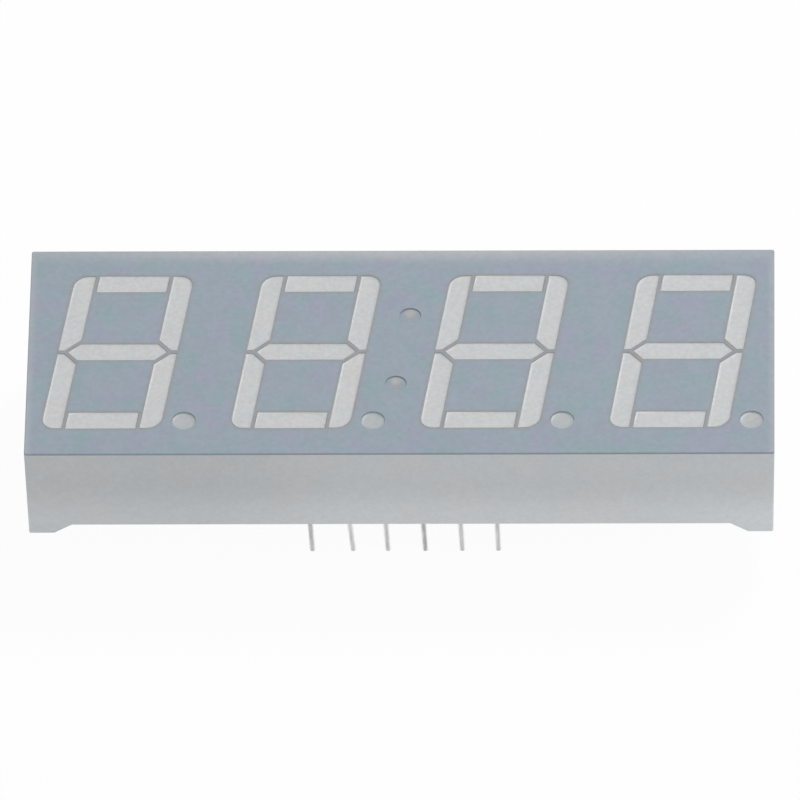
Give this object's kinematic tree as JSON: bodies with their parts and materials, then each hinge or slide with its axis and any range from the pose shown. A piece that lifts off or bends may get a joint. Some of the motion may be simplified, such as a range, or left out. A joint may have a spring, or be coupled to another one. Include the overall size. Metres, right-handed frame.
{
  "type": "seven segment display module",
  "caption": "Slanted-digit LED numeric display in a low moulded housing with corner feet, round decimal points, blind colon dimples and straight through-hole pins.",
  "frame": {"origin": "centre of the pin pattern on the seating plane, which is the underside of the four corner feet", "axes": "+Z out of the lit face, +X along the reading direction from the first digit to the last, +Y up the digits"},
  "size_m": [0.0502, 0.019, 0.0114],
  "materials": {
    "housing": "light grey moulded plastic with a blue-grey printed face",
    "segment_epoxy": "milky cast epoxy, satin",
    "dot_epoxy": "milky cast epoxy, satin",
    "led_chip": "bare semiconductor die with a gilt contact",
    "circuit_board": "glass-epoxy laminate with solder mask",
    "solder": "bright solder fillets",
    "potting": "pale cast epoxy over the board",
    "pin": "tinned round wire"
  },
  "bodies": {
    "root": {"housing": "housing", "digit_1_segment_a": "segment_epoxy", "digit_1_segment_b": "segment_epoxy", "digit_1_segment_c": "segment_epoxy", "digit_1_segment_d": "segment_epoxy", "digit_1_segment_e": "segment_epoxy", "digit_1_segment_f": "segment_epoxy", "digit_1_segment_g": "segment_epoxy", "digit_2_segment_a": "segment_epoxy", "digit_2_segment_b": "segment_epoxy", "digit_2_segment_c": "segment_epoxy", "digit_2_segment_d": "segment_epoxy", "digit_2_segment_e": "segment_epoxy", "digit_2_segment_f": "segment_epoxy", "digit_2_segment_g": "segment_epoxy", "digit_3_segment_a": "segment_epoxy", "digit_3_segment_b": "segment_epoxy", "digit_3_segment_c": "segment_epoxy", "digit_3_segment_d": "segment_epoxy", "digit_3_segment_e": "segment_epoxy", "digit_3_segment_f": "segment_epoxy", "digit_3_segment_g": "segment_epoxy", "digit_4_segment_a": "segment_epoxy", "digit_4_segment_b": "segment_epoxy", "digit_4_segment_c": "segment_epoxy", "digit_4_segment_d": "segment_epoxy", "digit_4_segment_e": "segment_epoxy", "digit_4_segment_f": "segment_epoxy", "digit_4_segment_g": "segment_epoxy", "digit_1_decimal_point": "dot_epoxy", "digit_2_decimal_point": "dot_epoxy", "digit_3_decimal_point": "dot_epoxy", "digit_4_decimal_point": "dot_epoxy", "digit_1_led_chips": "led_chip", "digit_2_led_chips": "led_chip", "digit_3_led_chips": "led_chip", "digit_4_led_chips": "led_chip", "circuit_board": "circuit_board", "solder_joints": "solder", "back_potting": "potting", "pin_1": "pin", "pin_2": "pin", "pin_3": "pin", "pin_4": "pin", "pin_5": "pin", "pin_6": "pin", "pin_7": "pin", "pin_8": "pin", "pin_9": "pin", "pin_10": "pin", "pin_11": "pin", "pin_12": "pin"}
  },
  "joints": []
}
